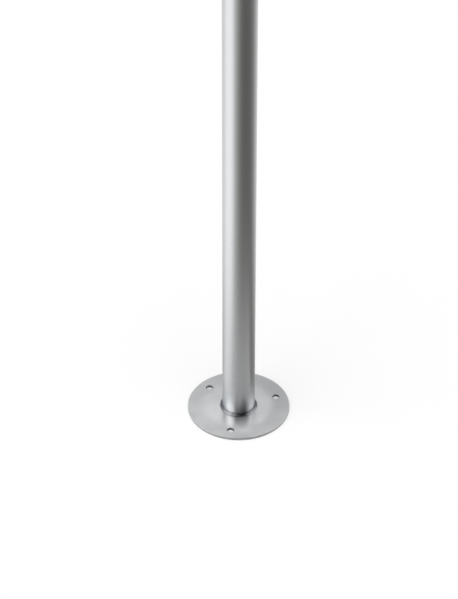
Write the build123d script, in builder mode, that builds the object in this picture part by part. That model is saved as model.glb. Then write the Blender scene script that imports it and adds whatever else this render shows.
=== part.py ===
from build123d import *
import os

# A floor-mounted flagpole in stainless steel: a plain round tube that stands in the bore of a thin
# round flange, joined to it by a fillet weld round its foot, and closed at the top by a low domed cap.
# The origin is the centre of the flange's flat underside, with +Z up the pole. Millimetres.

# Whole pole
OVERALL_HEIGHT = 2400.0

# Tube
TUBE_DIAMETER = 50.8
TUBE_WALL = 2.0
TUBE_END_CLEARANCE = 0.5

# Flange
FLANGE_DIAMETER = 160.0
FLANGE_THICKNESS = 4.0
RIM_EASE = 0.5
SEAT_CLEARANCE = 0.2
SEAT_EASE = 0.4

# Anchor holes, counted anticlockwise from +X as seen from above
ANCHOR_COUNT = 3
ANCHOR_HOLE_DIAMETER = 10.5
ANCHOR_CIRCLE_DIAMETER = 124.0
ANCHOR_START_ANGLE = 18.0
ANCHOR_EASE = 0.4

# Fillet weld, as wide on the flange as it is high on the tube, with a slightly hollow face
WELD_LEG = 4.0
WELD_HOLLOW = 0.5

# Top cap, turned from solid bar
CAP_RISE = 8.0
CAP_BRIM = 2.5
SPIGOT_WALL = 2.5
SPIGOT_LENGTH = 30.0
SPIGOT_CLEARANCE = 0.1
SPIGOT_LEAD_IN = 0.8

TUBE_RADIUS = TUBE_DIAMETER / 2
TUBE_BORE_RADIUS = TUBE_RADIUS - TUBE_WALL
TUBE_TOP = OVERALL_HEIGHT - CAP_RISE
TUBE_LENGTH = TUBE_TOP - TUBE_END_CLEARANCE
FLANGE_RADIUS = FLANGE_DIAMETER / 2
SEAT_RADIUS = TUBE_RADIUS + SEAT_CLEARANCE
ANCHOR_HOLE_RADIUS = ANCHOR_HOLE_DIAMETER / 2
SPIGOT_RADIUS = TUBE_BORE_RADIUS - SPIGOT_CLEARANCE
SPIGOT_BORE_RADIUS = SPIGOT_RADIUS - SPIGOT_WALL
SIZE_TOLERANCE = 0.01


def rings(part, radius):
    """Round edges of a part that have the given radius, the lowest first."""
    found = part.edges().filter_by(GeomType.CIRCLE)
    return found.filter_by(lambda edge: abs(edge.radius - radius) < SIZE_TOLERANCE).sort_by(Axis.Z)


os.makedirs("parts", exist_ok=True)

# Flange: a disc with a bore for the tube and a ring of anchor holes. Its rim and the holes are eased
# on both sides and the bore only beneath, because the weld covers its upper edge.
with BuildPart() as base_flange:
    with BuildSketch(Plane.XY):
        Circle(FLANGE_RADIUS)
        Circle(SEAT_RADIUS, mode=Mode.SUBTRACT)
        with PolarLocations(ANCHOR_CIRCLE_DIAMETER / 2, ANCHOR_COUNT, start_angle=ANCHOR_START_ANGLE):
            Circle(ANCHOR_HOLE_RADIUS, mode=Mode.SUBTRACT)
    extrude(amount=FLANGE_THICKNESS)
    chamfer(rings(base_flange, FLANGE_RADIUS), length=RIM_EASE)
    chamfer(rings(base_flange, ANCHOR_HOLE_RADIUS), length=ANCHOR_EASE)
    chamfer(rings(base_flange, SEAT_RADIUS)[0], length=SEAT_EASE)
base_flange.part.label = "base_flange"
export_step(base_flange.part, "parts/base_flange.step")

# Tube: stands through the bore and stops just short of the underside
with BuildPart() as mast_tube:
    with BuildSketch(Plane.XY.offset(TUBE_END_CLEARANCE)):
        Circle(TUBE_RADIUS)
        Circle(TUBE_BORE_RADIUS, mode=Mode.SUBTRACT)
    extrude(amount=TUBE_LENGTH)
mast_tube.part.label = "mast_tube"
export_step(mast_tube.part, "parts/mast_tube.step")

# Weld: a ring in the corner between the flange and the tube, which also closes the fit in the bore
with BuildPart() as foot_weld:
    with BuildSketch(Plane.XZ):
        with BuildLine():
            SagittaArc(
                (TUBE_RADIUS + WELD_LEG, FLANGE_THICKNESS),
                (TUBE_RADIUS, FLANGE_THICKNESS + WELD_LEG),
                WELD_HOLLOW,
            )
            Polyline(
                (TUBE_RADIUS, FLANGE_THICKNESS + WELD_LEG),
                (TUBE_RADIUS, FLANGE_THICKNESS),
                (TUBE_RADIUS + WELD_LEG, FLANGE_THICKNESS),
            )
        make_face()
    revolve(axis=Axis.Z)
foot_weld.part.label = "foot_weld"
export_step(foot_weld.part, "parts/foot_weld.step")

# Cap: a low dome as wide as the tube, whose shoulder sits on the end of the tube and whose hollow
# spigot reaches down inside it
cap_section = Plane(origin=(0, 0, TUBE_TOP), x_dir=(1, 0, 0), z_dir=(0, -1, 0))
with BuildPart() as top_cap:
    with BuildSketch(cap_section):
        with BuildLine():
            TangentArc((0, CAP_RISE), (TUBE_RADIUS, CAP_BRIM), tangent=(1, 0))
            Polyline(
                (TUBE_RADIUS, CAP_BRIM),
                (TUBE_RADIUS, 0),
                (SPIGOT_RADIUS, 0),
                (SPIGOT_RADIUS, -SPIGOT_LENGTH),
                (SPIGOT_BORE_RADIUS, -SPIGOT_LENGTH),
                (SPIGOT_BORE_RADIUS, 0),
                (0, 0),
                (0, CAP_RISE),
            )
        make_face()
    revolve(axis=Axis.Z)
    chamfer(rings(top_cap, SPIGOT_RADIUS)[0], length=SPIGOT_LEAD_IN)
top_cap.part.label = "top_cap"
export_step(top_cap.part, "parts/top_cap.step")
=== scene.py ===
"""The looks of a floor-mounted stainless flagpole: its tube, round flange, fillet weld and cap.

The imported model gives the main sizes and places, and the rest are named below. Each piece is drawn
again here as a fine surface with eased edges, and gets a steel finish of its own. All lengths are in
metres.
"""
import math
from types import SimpleNamespace

import bmesh
import bpy
import numpy as np
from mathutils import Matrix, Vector


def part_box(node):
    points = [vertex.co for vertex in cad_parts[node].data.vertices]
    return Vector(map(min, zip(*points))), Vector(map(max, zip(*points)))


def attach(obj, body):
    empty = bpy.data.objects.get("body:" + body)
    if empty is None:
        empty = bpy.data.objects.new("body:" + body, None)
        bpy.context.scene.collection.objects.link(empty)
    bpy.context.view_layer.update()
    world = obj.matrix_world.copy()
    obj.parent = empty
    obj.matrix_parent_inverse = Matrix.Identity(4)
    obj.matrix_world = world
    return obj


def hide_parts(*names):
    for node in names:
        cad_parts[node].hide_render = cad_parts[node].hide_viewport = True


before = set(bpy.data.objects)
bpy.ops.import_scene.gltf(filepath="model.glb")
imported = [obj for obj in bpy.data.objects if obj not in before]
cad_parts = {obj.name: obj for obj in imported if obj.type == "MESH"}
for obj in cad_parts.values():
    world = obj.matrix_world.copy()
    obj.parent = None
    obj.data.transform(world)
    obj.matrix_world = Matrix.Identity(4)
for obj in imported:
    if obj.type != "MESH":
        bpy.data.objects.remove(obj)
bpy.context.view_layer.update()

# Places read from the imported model
FLANGE_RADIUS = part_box("base_flange")[1].x
FLANGE_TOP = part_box("base_flange")[1].z
TUBE_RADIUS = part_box("mast_tube")[1].x
TUBE_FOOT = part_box("mast_tube")[0].z
TUBE_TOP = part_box("mast_tube")[1].z
WELD_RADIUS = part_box("foot_weld")[1].x
WELD_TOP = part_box("foot_weld")[1].z
CAP_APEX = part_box("top_cap")[1].z
SPIGOT_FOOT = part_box("top_cap")[0].z

# Sizes that the boxes don't give
TUBE_WALL = 0.002
SEAT_CLEARANCE = 0.0002
HOLE_RADIUS = 0.00525
HOLE_CIRCLE_RADIUS = 0.062
HOLE_BEARINGS = (18.0, 138.0, 258.0)
WELD_HOLLOW = 0.0005
CAP_BRIM = 0.0025
SPIGOT_WALL = 0.0025
SPIGOT_CLEARANCE = 0.0001
SPIGOT_LEAD_IN = 0.0008

# Eased edges
SOFT_EDGE = 0.0003
FLANGE_EDGE = 0.0005
EDGE_SUPPORT = 0.0002
EDGE_STEPS = 7
SLIGHT_TURN = math.radians(10)

# Fineness of the surfaces
TURN_STEPS = 256
TUBE_STEPS = 24
DOME_STEPS = 28
ARC_STEPS = 96
BORE_STEPS = 56
SIDE_STEPS = 18
SECTOR_ROWS = (0, 0.08, 0.3, 0.6, 0.9, 1.0)
HALF_SECTOR = math.pi / len(HOLE_BEARINGS)
MERGE_DISTANCE = 1e-6

# Materials of the flange, in the order of its material slots
PLATE_FACE, RIM_WALL, HOLE_WALL = 0, 1, 2

# Reflectances of stainless steel, plain, cut, and where heat has tinted it
STEEL_COOL = (0.598, 0.612, 0.626, 1.0)
STEEL_PLAIN = (0.590, 0.598, 0.606, 1.0)
STEEL_SHADED = (0.500, 0.508, 0.516, 1.0)
# The plate's tone of painted shade, towards the back right
STEEL_PAINTED_SHADE = (0.440, 0.446, 0.454, 1.0)
CUT_STEEL = (0.520, 0.522, 0.524, 1.0)
CUT_STEEL_DARK = (0.400, 0.400, 0.398, 1.0)
# Cut steel with painted shade, for the hole walls, much darker than the rim's cut steel
CUT_STEEL_PAINTED_DEEP_SHADE = (0.060, 0.060, 0.062, 1.0)
CUT_STEEL_PAINTED_SHADE = (0.200, 0.199, 0.197, 1.0)
TINT_STRAW = (0.560, 0.510, 0.430, 1.0)
TINT_BLUE = (0.330, 0.370, 0.440, 1.0)
# The tone of a painted dark reflection on the tube's foot
PAINTED_REFLECTION_TINT = (0.140, 0.155, 0.185, 1.0)
WELD_STRAW = (0.240, 0.225, 0.200, 1.0)
WELD_BLUE = (0.175, 0.195, 0.230, 1.0)

# How often each pattern repeats per metre along X, Y and Z
TUBE_GRAIN = (30, 30, 5200)
TUBE_BANDS = (9, 9, 160)
TUBE_CLOUDS = (22, 22, 7)
TUBE_WAVER = (9, 9, 3.5)
PLATE_SMUDGES = (26, 26, 26)
PLATE_WIPES = (14, 60, 10)
PLATE_LINES = (150, 2600, 150)
PLATE_CROSSING = (1900, 260, 150)
WALL_RIDGES = (1500, 1500, 90)
WALL_STAINS = (120, 120, 300)
WELD_PATCHES = (180, 180, 180)
WELD_GRAINS = (2500, 2500, 2500)
CAP_RINGS = (4200, 1, 4200)
CAP_CLOUDS = (60, 60, 60)

# How far heat tint reaches from the weld, and how far in from the rim the wear starts and is full
STRAW_REACH = 0.006
BLUE_REACH = 0.002
WEAR_START = 0.0012
WEAR_FULL = 0.0004

# The plate's film and polish: distances from the axis, and the metallic share and the roughness there
FILM_RING = (0.034, 0.068)
FILM_METALLIC = (0.97, 0.72)
POLISH_RING = (0.044, 0.066)
POLISH_ROUGHNESS = (0.20, 0.50)

# The direction in which the plate darkens by painted shade, and the places along it where that starts
# and ends
PAINTED_SHADE_WAY = (0.5, 0.85, 0)
PAINTED_SHADE_SPAN = (-0.06, 0.08)

# Soft patches at the foot: a painted dark reflection on the tube, and where the plate is smeared
DARK_REFLECTION_PLACE = (0.0066, -0.0245, WELD_TOP)
SMEARED_PLACE = (0.006, -0.050, FLANGE_TOP)


# Shapes


def ways(angle):
    """Level unit directions (cos w, sin w) at angles w."""
    return np.stack([np.cos(angle), np.sin(angle)], axis=-1)


def round_axis(radius, angle, height):
    """Points (r cos w, r sin w, z) at radii r, angles w and heights z round the pole's axis."""
    radius, angle, height = np.broadcast_arrays(radius, angle, height)
    return np.stack([radius * np.cos(angle), radius * np.sin(angle), height], axis=-1)


def rounded_outline(corners, radius):
    """An outline through the corners, with every real corner P eased into a curve.

    With unit directions a and b from P to its neighbours, the curve runs from P + c a to P + c b as
    (1-t)^2 (P + c a) + 2 t (1-t) P + t^2 (P + c b), where c = radius / tan(half the angle at P), but
    at most a third of the way to the nearer neighbour. A further point on each side, a little way
    out, keeps the flats beside it flat. Corners on the axis, and slight ones, stay as they are.
    """
    corners = np.asarray(corners, dtype=float)
    outline = []
    for index, here in enumerate(corners):
        before = corners[index - 1] - here
        after = corners[(index + 1) % len(corners)] - here
        room = min(np.linalg.norm(before), np.linalg.norm(after)) / 3
        before = before / np.linalg.norm(before)
        after = after / np.linalg.norm(after)
        angle = math.acos(np.clip(before @ after, -1, 1))
        if here[0] < MERGE_DISTANCE or angle > math.pi - SLIGHT_TURN:
            outline.append(here[None])
            continue
        reach = min(radius / math.tan(angle / 2), room)
        support = min(EDGE_SUPPORT, room)
        t = np.linspace(0, 1, EDGE_STEPS)[:, None]
        start, end = here + reach * before, here + reach * after
        curve = (1 - t) ** 2 * start + 2 * t * (1 - t) * here + t**2 * end
        outline += [start[None] + support * before, curve, end[None] + support * after]
    return np.concatenate(outline)


def turned(outline):
    """A surface of revolution: outline point (r, z) at angle w is (r cos w, r sin w, z).

    The outline closes on itself, and the last column repeats the first.
    """
    outline = np.concatenate([outline, outline[:1]])
    angle = np.linspace(0, 2 * math.pi, TURN_STEPS + 1)
    return round_axis(outline[:, :1], angle, outline[:, 1:])


def carried(section, directions, centre):
    """Section points (r, z) carried round a centre: each lies at centre + r direction, at height z."""
    flat = centre + section[:, None, :1] * directions[None]
    height = np.repeat(section[:, None, 1:], len(directions), axis=1)
    return np.concatenate([flat, height], axis=-1)


def piece_from(name, grids, finishes=(0,)):
    """One smooth, closed mesh from grids of points, whose shared edges are merged.

    A grid is an array of rows by columns by 3. finishes gives each grid's material slot.
    """
    mesh = bpy.data.meshes.new(name)
    points, quads, slots, first = [], [], [], 0
    for grid, finish in zip(grids, finishes):
        rows, columns = grid.shape[:2]
        index = first + np.arange(rows * columns).reshape(rows, columns)
        corners = [index[:-1, :-1], index[:-1, 1:], index[1:, 1:], index[1:, :-1]]
        faces = np.stack(corners, axis=-1).reshape(-1, 4)
        points.append(grid.reshape(-1, 3))
        quads.append(faces)
        slots.append(np.full(len(faces), finish))
        first += rows * columns
    points, quads, slots = (np.concatenate(part) for part in (points, quads, slots))
    mesh.vertices.add(len(points))
    mesh.vertices.foreach_set("co", points.astype(np.float32).ravel())
    mesh.loops.add(quads.size)
    mesh.loops.foreach_set("vertex_index", quads.astype(np.int32).ravel())
    mesh.polygons.add(len(quads))
    mesh.polygons.foreach_set("loop_start", np.arange(0, quads.size, 4, dtype=np.int32))
    mesh.polygons.foreach_set("material_index", slots.astype(np.int32))
    mesh.update(calc_edges=True)
    merged = bmesh.new()
    merged.from_mesh(mesh)
    bmesh.ops.remove_doubles(merged, verts=merged.verts, dist=MERGE_DISTANCE)
    bmesh.ops.recalc_face_normals(merged, faces=merged.faces)
    merged.to_mesh(mesh)
    merged.free()
    mesh.polygons.foreach_set("use_smooth", np.ones(len(mesh.polygons), dtype=bool))
    piece = bpy.data.objects.new(name, mesh)
    bpy.context.scene.collection.objects.link(piece)
    return piece


def tube_outline():
    """Section of the tube's wall, divided along its length."""
    heights = np.linspace(TUBE_FOOT, TUBE_TOP, TUBE_STEPS + 1)
    outside = [(TUBE_RADIUS, z) for z in heights]
    inside = [(TUBE_RADIUS - TUBE_WALL, z) for z in heights[::-1]]
    return rounded_outline(outside + inside, SOFT_EDGE)


def cap_outline():
    """Section of the cap: a dome of radius (R^2 + h^2) / 2h over the tube's radius R, where h is
    its rise above the brim, then the brim, the shoulder and the hollow spigot."""
    rise = CAP_APEX - TUBE_TOP - CAP_BRIM
    dome_radius = (TUBE_RADIUS**2 + rise**2) / (2 * rise)
    lean = np.linspace(0, math.asin(TUBE_RADIUS / dome_radius), DOME_STEPS)
    dome = [(dome_radius * math.sin(a), CAP_APEX - dome_radius * (1 - math.cos(a))) for a in lean]
    spigot = TUBE_RADIUS - TUBE_WALL - SPIGOT_CLEARANCE
    hollow = spigot - SPIGOT_WALL
    below = [
        (TUBE_RADIUS, TUBE_TOP),
        (spigot, TUBE_TOP),
        (spigot, SPIGOT_FOOT + SPIGOT_LEAD_IN),
        (spigot - SPIGOT_LEAD_IN, SPIGOT_FOOT),
        (hollow, SPIGOT_FOOT),
        (hollow, TUBE_TOP),
        (0, TUBE_TOP),
    ]
    return rounded_outline(dome + below, SOFT_EDGE)


def weld_surface():
    """The fillet weld: a hollow face between the toes on flange and tube, carried round the foot.

    The face is (1-s) toe + s top, moved squarely to it: in by WELD_HOLLOW 4 s (1-s), and out by
    height sin(pi s) (0.5 + 0.4 sin p + 0.15 sin 2p) for its ripples. The phase p at angle w is
    n (w + bow (s - 1/2)^2) + slow sines of w, so that the ripples are crescents that bow along the
    weld and aren't all alike. The toe on the flange wanders inwards by a sum of slow sines, as a
    hand-laid weld does, and both toes are sunk a hair into the steel, so that no gap shows.
    """
    ripples, steps_each, rows = 96, 10, 21
    height, bow = 0.00011, 0.24
    wander, slow_peak = 0.00016, 2.2
    sink = 0.00002
    angle = np.linspace(0, 2 * math.pi, ripples * steps_each + 1)
    s = np.linspace(0, 1, rows)[:, None]
    slow = np.sin(3 * angle + 0.7) + 0.7 * np.sin(7 * angle + 2.1) + 0.5 * np.sin(13 * angle + 4.0)
    toe_radius = WELD_RADIUS - wander * (slow_peak - slow)
    radius = (1 - s) * toe_radius + s * TUBE_RADIUS
    level = (1 - s) * (FLANGE_TOP - sink) + s * WELD_TOP
    uneven = 1.1 * np.sin(5 * angle + 1.0) + 0.7 * np.sin(11 * angle) + 0.5 * np.sin(17 * angle + 3.0)
    phase = ripples * (angle + bow * (s - 0.5) ** 2) + uneven
    crest = 0.5 + 0.4 * np.sin(phase) + 0.15 * np.sin(2 * phase)
    out = (height * np.sin(math.pi * s) * crest - WELD_HOLLOW * 4 * s * (1 - s)) / math.sqrt(2)
    radius, level = radius + out, level + out
    radius[-1] -= sink
    face = round_axis(radius, angle, level)
    corner = round_axis(TUBE_RADIUS - sink, angle, FLANGE_TOP - sink)
    return np.concatenate([face, corner[None], face[:1]])


def eased_wall(wall_radius, side):
    """Section of a cut edge of the flange from its top face round to its underside.

    The wall stands at wall_radius, with quarter rounds of FLANGE_EDGE above and below. side is 1
    where the metal lies inside the wall, as at the rim, and -1 round a hole.
    """
    turn = np.linspace(0, math.pi / 2, EDGE_STEPS)
    radius = wall_radius - side * FLANGE_EDGE * (1 - np.sin(turn))
    level = FLANGE_TOP - FLANGE_EDGE * (1 - np.cos(turn))
    flat = wall_radius - side * (FLANGE_EDGE + EDGE_SUPPORT)
    upper = [(flat, FLANGE_TOP), *zip(radius, level), (wall_radius, level[-1] - EDGE_SUPPORT)]
    lower = [(r, FLANGE_TOP - z) for r, z in reversed(upper)]
    return np.array(upper + lower)


def sector_border(bearing, outer, inner):
    """Points round one sector of the flange: along the outer arc, in along one side, back along the
    bore and out along the other side."""
    radii = [
        np.full(ARC_STEPS, outer),
        np.linspace(outer, inner, SIDE_STEPS, endpoint=False),
        np.full(BORE_STEPS, inner),
        np.linspace(inner, outer, SIDE_STEPS + 1),
    ]
    turns = [
        np.linspace(-HALF_SECTOR, HALF_SECTOR, ARC_STEPS, endpoint=False),
        np.full(SIDE_STEPS, HALF_SECTOR),
        np.linspace(HALF_SECTOR, -HALF_SECTOR, BORE_STEPS, endpoint=False),
        np.full(SIDE_STEPS + 1, -HALF_SECTOR),
    ]
    return np.concatenate(radii)[:, None] * ways(bearing + np.concatenate(turns))


def flange_surface():
    """The flange as three equal sectors round its holes, and the eased walls of rim, bore and holes,
    with the material slot of each.

    A sector's face is (1-v) hole(u) + v border(u), where hole(u) is the point of the hole's edge that
    faces border(u). A wall carries the section of eased_wall round its own centre.
    """
    outer = FLANGE_RADIUS - FLANGE_EDGE - EDGE_SUPPORT
    seat = TUBE_RADIUS + SEAT_CLEARANCE
    inner = seat + FLANGE_EDGE + EDGE_SUPPORT
    v = np.array(SECTOR_ROWS)[:, None, None]
    grids, finishes = [], []
    for bearing in np.radians(HOLE_BEARINGS):
        border = sector_border(bearing, outer, inner)
        centre = HOLE_CIRCLE_RADIUS * ways(bearing)
        facing = border - centre
        facing = facing / np.linalg.norm(facing, axis=-1, keepdims=True)
        hole = centre + (HOLE_RADIUS + FLANGE_EDGE + EDGE_SUPPORT) * facing
        flat = (1 - v) * hole + v * border
        underside, top = (np.insert(flat, 2, level, axis=-1) for level in (0.0, FLANGE_TOP))
        grids += [underside, top, carried(eased_wall(HOLE_RADIUS, -1), facing, centre)]
        finishes += [PLATE_FACE, PLATE_FACE, HOLE_WALL]
    start = math.radians(HOLE_BEARINGS[0]) - HALF_SECTOR
    for steps, radius, side in ((ARC_STEPS, FLANGE_RADIUS, 1), (BORE_STEPS, seat, -1)):
        angle = start + np.linspace(0, 2 * math.pi, steps * len(HOLE_BEARINGS) + 1)
        grids.append(carried(eased_wall(radius, side), ways(angle), np.zeros(2)))
        finishes.append(RIM_WALL)
    return grids, finishes


# Nodes


def add(tree, kind, inputs=None, **settings):
    """A node of a kind, with its settings, and each named input set to a value or a socket."""
    node = tree.nodes.new(kind)
    for name, value in settings.items():
        setattr(node, name, value)
    for name, value in (inputs or {}).items():
        socket = node.inputs[name]
        if isinstance(value, bpy.types.NodeSocket):
            tree.links.new(value, socket)
        else:
            socket.default_value = value
    return node


def calculate(tree, operation, first, second=0.0, third=0.0):
    """The result of a Math node."""
    return add(tree, "ShaderNodeMath", {0: first, 1: second, 2: third}, operation=operation).outputs[0]


def vector_of(tree, operation, first, second=(0, 0, 0)):
    """The vector that a Vector Math node gives."""
    node = add(tree, "ShaderNodeVectorMath", {0: first, 1: second}, operation=operation)
    return node.outputs["Vector"]


def number_of(tree, operation, first, second=(0, 0, 0)):
    """The number that a Vector Math node gives, such as a length or a dot product."""
    node = add(tree, "ShaderNodeVectorMath", {0: first, 1: second}, operation=operation)
    return node.outputs["Value"]


def off_axis(tree, place):
    """A place with its height taken out, so that its length is its distance from the pole's axis."""
    return vector_of(tree, "MULTIPLY", place, (1, 1, 0))


def ranged(tree, value, low, high, to_low, to_high):
    """A value that runs smoothly from to_low, at low, to to_high, at high."""
    inputs = {"Value": value, "From Min": low, "From Max": high, "To Min": to_low, "To Max": to_high}
    return add(tree, "ShaderNodeMapRange", inputs, interpolation_type="SMOOTHSTEP").outputs["Result"]


def mixed(tree, factor, first, second):
    """A number between two."""
    inputs = {"Factor": factor, "A": first, "B": second}
    return add(tree, "ShaderNodeMix", inputs, data_type="FLOAT").outputs["Result"]


def blended(tree, factor, first, second):
    """A colour between two."""
    inputs = {"Factor": factor, "A": first, "B": second}
    return add(tree, "ShaderNodeMix", inputs, data_type="RGBA").outputs["Result"]


def toned(tree, color, other, pattern, low, high, most):
    """A colour shifted towards another: not at all where the pattern is at low, and by the share most
    where it is at high."""
    return blended(tree, ranged(tree, pattern, low, high, 0.0, most), color, other)


def tinted(tree, color, tint, value, start, reach, most):
    """A colour shifted towards a tint: by the share most at start, and not at all a reach beyond."""
    return blended(tree, ranged(tree, value, start, start + reach, most, 0.0), color, tint)


def roughened(tree, base, *shares):
    """A base roughness plus, for each (pattern, share), the pattern times its share."""
    roughness = base
    for pattern, share in shares:
        roughness = calculate(tree, "MULTIPLY_ADD", pattern, share, roughness)
    return roughness


def bumped(tree, *layers):
    """The normal of chained bumps, one for each (pattern, depth in metres)."""
    normal = None
    for pattern, depth in layers:
        inputs = {"Height": pattern, "Distance": depth, "Strength": 1.0}
        if normal is not None:
            inputs["Normal"] = normal
        normal = add(tree, "ShaderNodeBump", inputs).outputs["Normal"]
    return normal


def soft_patch(tree, place, centre, squeeze, inner, outer, amount):
    """An amount within the inner distance of a centre, which fades to nothing at the outer distance.

    squeeze scales the offset along each axis, so that less than 1 makes the patch longer that way.
    """
    offset = vector_of(tree, "SUBTRACT", place, centre)
    distance = number_of(tree, "LENGTH", vector_of(tree, "MULTIPLY", offset, squeeze))
    return ranged(tree, distance, inner, outer, amount, 0.0)


def stretched_noise(tree, place, repeats, detail=3.0, roughness=0.55):
    """Noise that repeats so often per metre along each axis."""
    mapped = add(tree, "ShaderNodeMapping", {"Vector": place, "Scale": repeats}).outputs["Vector"]
    inputs = {"Vector": mapped, "Scale": 1.0, "Detail": detail, "Roughness": roughness}
    return add(tree, "ShaderNodeTexNoise", inputs).outputs["Fac"]


# Finishes


def new_steel(name, anisotropy=0.0, across=None):
    """A plain metal to build a finish on: its material, tree and shader, and what patterns are laid
    by, which are the place on the piece, the distance from the pole's axis and the height.

    Reflections spread along the direction across, or upright where none is given.
    """
    material = bpy.data.materials.new(name)
    material.use_nodes = True
    tree = material.node_tree
    shader = tree.nodes["Principled BSDF"]
    shader.inputs["Metallic"].default_value = 1.0
    shader.inputs["Anisotropic"].default_value = anisotropy
    if across:
        way = add(tree, "ShaderNodeCombineXYZ", dict(zip("XYZ", across))).outputs["Vector"]
        tree.links.new(way, shader.inputs["Tangent"])
    elif anisotropy:
        tangent = add(tree, "ShaderNodeTangent", direction_type="RADIAL", axis="Z").outputs["Tangent"]
        tree.links.new(tangent, shader.inputs["Tangent"])
        shader.inputs["Anisotropic Rotation"].default_value = 0.25
    place = add(tree, "ShaderNodeTexCoord").outputs["Object"]
    distance = number_of(tree, "LENGTH", off_axis(tree, place))
    height = add(tree, "ShaderNodeSeparateXYZ", {0: place}).outputs["Z"]
    return SimpleNamespace(
        material=material, tree=tree, shader=shader, place=place, distance=distance, height=height
    )


def finish_steel(steel, color, roughness, normal):
    """Gives a steel its colour, roughness and normal, and returns its material."""
    for name, socket in (("Base Color", color), ("Roughness", roughness), ("Normal", normal)):
        steel.tree.links.new(socket, steel.shader.inputs[name])
    return steel.material


def satin_tube():
    """Round satin grain, with faint clouds, a slight waver in the wall, straw heat tint by the weld
    and one patch of painted dark reflection at the foot."""
    steel = new_steel("satin_tube", anisotropy=0.6)
    tree, place = steel.tree, steel.place
    grain = stretched_noise(tree, place, TUBE_GRAIN, detail=4.0)
    bands = stretched_noise(tree, place, TUBE_BANDS)
    clouds = stretched_noise(tree, place, TUBE_CLOUDS, detail=4.0)
    waver = stretched_noise(tree, place, TUBE_WAVER, detail=1.0)
    # A painted dark reflection: a dark bluish patch on the tube's foot, right of the front
    painted_reflection = soft_patch(
        tree, place, DARK_REFLECTION_PLACE, squeeze=(1, 1, 0.28), inner=0.001, outer=0.0118, amount=0.62
    )
    color = toned(tree, STEEL_COOL, STEEL_PLAIN, clouds, low=0.3, high=0.7, most=0.55)
    color = toned(tree, color, STEEL_SHADED, grain, low=0.35, high=0.75, most=0.45)
    color = tinted(tree, color, TINT_STRAW, steel.height, WELD_TOP, STRAW_REACH, most=0.6)
    color = blended(tree, painted_reflection, color, PAINTED_REFLECTION_TINT)
    roughness = roughened(tree, 0.25, (grain, 0.08), (bands, 0.05))
    normal = bumped(tree, (waver, 0.0006), (bands, 0.000006), (grain, 0.0000015))
    return finish_steel(steel, color, roughness, normal)


def handled_plate():
    """Fine satin plate, polished brighter round the weld and filmed over towards the rim, with painted
    shade that makes it a little darker at the back right, and soft smudges, crossing lines, a smear, a
    worn bright edge and a heat halo."""
    steel = new_steel("handled_plate", anisotropy=0.6, across=(0, 1, 0))
    tree, place, distance = steel.tree, steel.place, steel.distance
    smear = soft_patch(
        tree, place, SMEARED_PLACE, squeeze=(1, 0.75, 1), inner=0.004, outer=0.024, amount=0.27
    )
    film = ranged(tree, distance, *FILM_RING, *FILM_METALLIC)
    tree.links.new(calculate(tree, "SUBTRACT", film, smear), steel.shader.inputs["Metallic"])
    smudges = stretched_noise(tree, place, PLATE_SMUDGES, detail=5.0, roughness=0.5)
    wipes = stretched_noise(tree, place, PLATE_WIPES, detail=4.0)
    lines = stretched_noise(tree, place, PLATE_LINES, detail=4.0)
    crossing = stretched_noise(tree, place, PLATE_CROSSING)
    # Painted shade: the plate's colour darkens towards the back right
    darker = number_of(tree, "DOT_PRODUCT", place, PAINTED_SHADE_WAY)
    color = toned(tree, STEEL_PLAIN, STEEL_SHADED, smudges, low=0.35, high=0.68, most=0.85)
    color = toned(tree, color, STEEL_SHADED, wipes, low=0.4, high=0.75, most=0.35)
    color = toned(tree, color, STEEL_SHADED, lines, low=0.45, high=0.75, most=0.3)
    color = toned(tree, color, STEEL_PAINTED_SHADE, darker, *PAINTED_SHADE_SPAN, most=1.0)
    color = tinted(tree, color, TINT_STRAW, distance, WELD_RADIUS, STRAW_REACH, most=0.2)
    color = tinted(tree, color, TINT_BLUE, distance, WELD_RADIUS, BLUE_REACH, most=0.7)
    worn = (FLANGE_RADIUS - WEAR_START, FLANGE_RADIUS - WEAR_FULL)
    color = toned(tree, color, STEEL_COOL, distance, *worn, most=0.7)
    polish = ranged(tree, distance, *POLISH_RING, *POLISH_ROUGHNESS)
    roughness = roughened(tree, polish, (smudges, 0.16), (lines, 0.06))
    normal = bumped(tree, (smudges, 0.00002), (lines, 0.000002), (crossing, 0.0000015))
    return finish_steel(steel, color, roughness, normal)


def cut_wall(name, light, dark, corner_light):
    """A cut wall between two tones, with fine upright ridges and a lighter upper corner."""
    steel = new_steel(name)
    tree, place = steel.tree, steel.place
    ridges = stretched_noise(tree, place, WALL_RIDGES)
    stains = stretched_noise(tree, place, WALL_STAINS)
    corner = (FLANGE_TOP - FLANGE_EDGE, FLANGE_TOP)
    color = toned(tree, light, dark, stains, low=0.3, high=0.7, most=0.8)
    color = toned(tree, color, dark, ridges, low=0.4, high=0.8, most=0.4)
    color = toned(tree, color, STEEL_PLAIN, steel.height, *corner, most=corner_light)
    roughness = roughened(tree, 0.38, (ridges, 0.15))
    return finish_steel(steel, color, roughness, bumped(tree, (ridges, 0.00002)))


def tinted_weld():
    """Weld metal, patched straw and blue in the middle and blue at both toes, with a fine grain."""
    steel = new_steel("tinted_weld")
    tree, place = steel.tree, steel.place
    patches = stretched_noise(tree, place, WELD_PATCHES)
    grains = stretched_noise(tree, place, WELD_GRAINS, detail=2.0)
    middle = (WELD_RADIUS + TUBE_RADIUS) / 2
    off_middle = calculate(tree, "ABSOLUTE", calculate(tree, "SUBTRACT", steel.distance, middle))
    toes = ranged(tree, off_middle, low=0.0004, high=0.0020, to_low=0.35, to_high=1.0)
    color = toned(tree, WELD_STRAW, WELD_BLUE, patches, low=0.35, high=0.65, most=0.6)
    color = blended(tree, toes, color, WELD_BLUE)
    roughness = roughened(tree, 0.2, (patches, 0.2))
    return finish_steel(steel, color, roughness, bumped(tree, (patches, 0.00003), (grains, 0.000003)))


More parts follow.
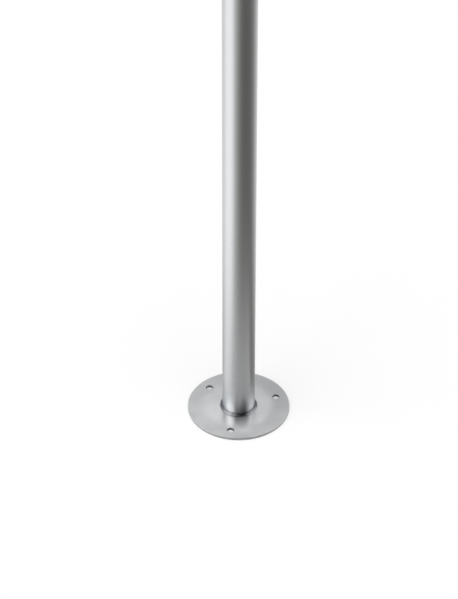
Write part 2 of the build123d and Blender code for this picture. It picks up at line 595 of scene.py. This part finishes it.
def turned_cap():
    """Lathe-turned satin: fine rings on the dome, the brim and the spigot."""
    steel = new_steel("turned_cap", anisotropy=0.5)
    tree = steel.tree
    section = add(tree, "ShaderNodeCombineXYZ", {"X": steel.distance, "Z": steel.height})
    rings = stretched_noise(tree, section.outputs["Vector"], CAP_RINGS)
    clouds = stretched_noise(tree, steel.place, CAP_CLOUDS)
    color = toned(tree, STEEL_COOL, STEEL_PLAIN, clouds, low=0.3, high=0.7, most=0.6)
    color = toned(tree, color, STEEL_SHADED, rings, low=0.4, high=0.75, most=0.4)
    roughness = roughened(tree, 0.24, (rings, 0.12))
    return finish_steel(steel, color, roughness, bumped(tree, (clouds, 0.00002), (rings, 0.000002)))


# Pieces


def place_piece(piece, node, materials):
    """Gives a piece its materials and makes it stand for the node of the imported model."""
    for material in materials:
        piece.data.materials.append(material)
    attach(piece, "root")
    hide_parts(node)


place_piece(piece_from("satin_tube", [turned(tube_outline())]), "mast_tube", [satin_tube()])
place_piece(piece_from("turned_cap", [turned(cap_outline())]), "top_cap", [turned_cap()])
place_piece(piece_from("fillet_weld", [weld_surface()]), "foot_weld", [tinted_weld()])
flange = piece_from("drilled_flange", *flange_surface())
rim = cut_wall("cut_rim", CUT_STEEL, CUT_STEEL_DARK, corner_light=0.8)
# The hole walls: cut steel whose dark tones are mostly painted shade of the recess
holes = cut_wall("cut_holes_painted_shade", CUT_STEEL_PAINTED_SHADE, CUT_STEEL_PAINTED_DEEP_SHADE, corner_light=0.3)
place_piece(flange, "base_flange", [handled_plate(), rim, holes])


# Stage

# The camera's frame, and its scale at the point that it aims at
IMAGE_HEIGHT = 599
PIXELS_PER_METRE = 656.3
SENSOR_WIDTH = 36.0
CAMERA_DISTANCE = 3.7
CAMERA_ELEVATION = math.radians(38.57)
CAMERA_CLIP = (0.05, 1000.0)
AIM = (-0.0152, 0.0, 0.2163)

# The floor, whose glow is lowered as painted shade where the flange covers it, from COVER_START to
# COVER_END in from the rim
FLOOR_HALF_WIDTH = 200.0
FLOOR_COLOR = (0.4, 0.4, 0.4, 1.0)
FLOOR_GLOW = 0.42
PAINTED_SHADE_GLOW = 0.20
COVER_START = 0.012
COVER_END = 0.001

# Soft light. A lamp is its name, bearing and elevation in degrees, and strength.
WHITE = (1.0, 1.0, 1.0, 1.0)
SKY_LIGHT = 0.58
LAMPS = (("key", -66, 40, 1.2), ("top", 10, 70, 2.2))
LAMP_SPREAD = math.radians(60)
LAMP_DISTANCE = 3.0

# The reflector round the foot, whose tone turns from the near one to the far one between two
# distances from the axis
CARD_HEIGHT = 0.001
CARD_GAP = 0.0005
CARD_REACH = 100.0
CARD_STEPS = 96
CARD_TURN = (0.12, 0.55)

# Tones of what polished metal sees, as (bearing, elevation, half width in degrees, amount).
# Bearings count from the camera's side towards its right.
SKY_LOBES = (
    (-67, 40, 33, 2.4),
    (25, 42, 58, -1.4),
    (20, 82, 45, -0.4),
    (98, 42, 36, 1.5),
    (140, 15, 38, -0.6),
    (-142, 5, 38, -0.6),
    (180, 40, 48, 0.18),
)
NEAR_LOBES = ((-90, 0, 50, 0.16), (26, 0, 98, -0.32), (110, 0, 44, -0.52), (-142, 0, 50, -0.28))
FAR_LOBES = ((-74, 0, 46, 0.42), (47, 0, 108, -0.82))
SKY_TONE = 1.0
NEAR_TONE = 0.86
FAR_TONE = 0.98
DARKEST_TONE = 0.03
DARK_TINT = (1.0, 0.975, 0.93, 1.0)


def toward(bearing, elevation):
    """The unit direction at a bearing and an elevation, in degrees."""
    a, e = math.radians(bearing), math.radians(elevation)
    return (math.sin(a) * math.cos(e), -math.cos(a) * math.cos(e), math.sin(e))


def lobed_tone(tree, direction, base, lobes):
    """A base tone plus lobes, and never under DARKEST_TONE. Each lobe adds its amount at its centre
    and fades to nothing at its half width."""
    tone = base
    for bearing, elevation, half_width, amount in lobes:
        near = number_of(tree, "DOT_PRODUCT", direction, toward(bearing, elevation))
        lobe = ranged(tree, near, math.cos(math.radians(half_width)), 1.0, 0.0, amount)
        tone = calculate(tree, "ADD", tone, lobe)
    return calculate(tree, "MAXIMUM", tone, DARKEST_TONE)


def mirrored_or_seen(tree, rays):
    """1 for camera, glossy and transmission rays, and 0 for the rest."""
    direct = calculate(tree, "MAXIMUM", rays["Is Camera Ray"], rays["Is Glossy Ray"])
    return calculate(tree, "MAXIMUM", direct, rays["Is Transmission Ray"])


def staged(name, mesh):
    """An object of the stage, which isn't part of the pole."""
    thing = bpy.data.objects.new(name, mesh)
    bpy.context.scene.collection.objects.link(thing)
    return thing


def stage_material(name, mesh):
    """The tree, still empty, of a new material on a mesh of the stage."""
    material = bpy.data.materials.new(name)
    material.use_nodes = True
    material.node_tree.nodes.clear()
    mesh.materials.append(material)
    return material.node_tree


def make_floor():
    """A pale floor that takes the object's shadow and shows white to the camera, with painted shade
    where the flange covers it."""
    size = FLOOR_HALF_WIDTH
    mesh = bpy.data.meshes.new("floor")
    corners = [(-size, -size, 0), (size, -size, 0), (size, size, 0), (-size, size, 0)]
    mesh.from_pydata(corners, [], [(0, 1, 2, 3)])
    staged("floor", mesh)
    tree = stage_material("pale_floor", mesh)
    seen = mirrored_or_seen(tree, add(tree, "ShaderNodeLightPath").outputs)
    distance = number_of(tree, "LENGTH", add(tree, "ShaderNodeTexCoord").outputs["Object"])
    covered, open_floor = FLANGE_RADIUS - COVER_START, FLANGE_RADIUS - COVER_END
    # Painted shade: the floor glows less under the flange, so that the holes look shaded
    glowing = ranged(tree, distance, covered, open_floor, PAINTED_SHADE_GLOW, FLOOR_GLOW)
    glow = add(tree, "ShaderNodeEmission", {"Strength": calculate(tree, "MULTIPLY", seen, glowing)})
    matt = add(tree, "ShaderNodeBsdfDiffuse", {"Color": FLOOR_COLOR})
    both = add(tree, "ShaderNodeAddShader", {0: matt.outputs["BSDF"], 1: glow.outputs["Emission"]})
    add(tree, "ShaderNodeOutputMaterial", {"Surface": both.outputs["Shader"]})


def make_world():
    """White behind the object, soft light on it, and the studio's tones where metal mirrors it."""
    world = bpy.data.worlds.new("studio")
    bpy.context.scene.world = world
    world.use_nodes = True
    tree = world.node_tree
    direction = add(tree, "ShaderNodeTexCoord").outputs["Generated"]
    rays = add(tree, "ShaderNodeLightPath").outputs
    mirrored = lobed_tone(tree, direction, SKY_TONE, SKY_LOBES)
    shown = mixed(tree, rays["Is Glossy Ray"], SKY_TONE, mirrored)
    strength = mixed(tree, mirrored_or_seen(tree, rays), SKY_LIGHT, shown)
    background = tree.nodes["Background"]
    background.inputs["Color"].default_value = WHITE
    tree.links.new(strength, background.inputs["Strength"])


def make_card():
    """A graded reflector laid round the foot, which only polished metal sees."""
    angle = np.linspace(0, 2 * math.pi, CARD_STEPS, endpoint=False)
    radii = np.array([FLANGE_RADIUS + CARD_GAP, CARD_REACH])[:, None]
    points = round_axis(radii, angle, CARD_HEIGHT).reshape(-1, 3)
    first = np.arange(CARD_STEPS)
    following = (first + 1) % CARD_STEPS
    faces = np.stack([first, CARD_STEPS + first, CARD_STEPS + following, following], axis=-1)
    mesh = bpy.data.meshes.new("graded_card")
    mesh.from_pydata(points.tolist(), [], faces.tolist())
    card = staged("graded_card", mesh)
    card.visible_camera = card.visible_diffuse = card.visible_shadow = False
    card.visible_transmission = card.visible_volume_scatter = False
    tree = stage_material("graded_card", mesh)
    flat = off_axis(tree, add(tree, "ShaderNodeTexCoord").outputs["Object"])
    direction = vector_of(tree, "NORMALIZE", flat)
    near = lobed_tone(tree, direction, NEAR_TONE, NEAR_LOBES)
    far = lobed_tone(tree, direction, FAR_TONE, FAR_LOBES)
    turn = ranged(tree, number_of(tree, "LENGTH", flat), *CARD_TURN, 0.0, 1.0)
    tone = mixed(tree, turn, near, far)
    tint = toned(tree, DARK_TINT, WHITE, tone, low=0.1, high=0.9, most=1.0)
    glow = add(tree, "ShaderNodeEmission", {"Color": tint, "Strength": tone})
    add(tree, "ShaderNodeOutputMaterial", {"Surface": glow.outputs["Emission"]})


def make_lamp(name, bearing, elevation, strength):
    """A far, wide and soft lamp that lights the floor evenly and that polished metal doesn't mirror."""
    light = bpy.data.lights.new(name, "SUN")
    light.energy = strength
    light.angle = LAMP_SPREAD
    lamp = bpy.data.objects.new(name, light)
    bpy.context.scene.collection.objects.link(lamp)
    direction = Vector(toward(bearing, elevation))
    lamp.location = direction * LAMP_DISTANCE
    lamp.rotation_mode = "QUATERNION"
    lamp.rotation_quaternion = direction.to_track_quat("Z", "Y")
    lamp.visible_camera = lamp.visible_glossy = False


def make_camera():
    """The photograph's view, from the front and down at the foot."""
    data = bpy.data.cameras.new("camera")
    camera = bpy.data.objects.new("camera", data)
    bpy.context.scene.collection.objects.link(camera)
    bpy.context.scene.camera = camera
    back = Vector((0, -math.cos(CAMERA_ELEVATION), math.sin(CAMERA_ELEVATION)))
    camera.location = Vector(AIM) + back * CAMERA_DISTANCE
    camera.rotation_euler = (math.pi / 2 - CAMERA_ELEVATION, 0, 0)
    data.sensor_width = SENSOR_WIDTH
    data.lens = PIXELS_PER_METRE * CAMERA_DISTANCE / IMAGE_HEIGHT * SENSOR_WIDTH
    data.clip_start, data.clip_end = CAMERA_CLIP


make_floor()
make_world()
make_card()
for lamp in LAMPS:
    make_lamp(*lamp)
make_camera()
bpy.context.scene.view_settings.view_transform = "Standard"
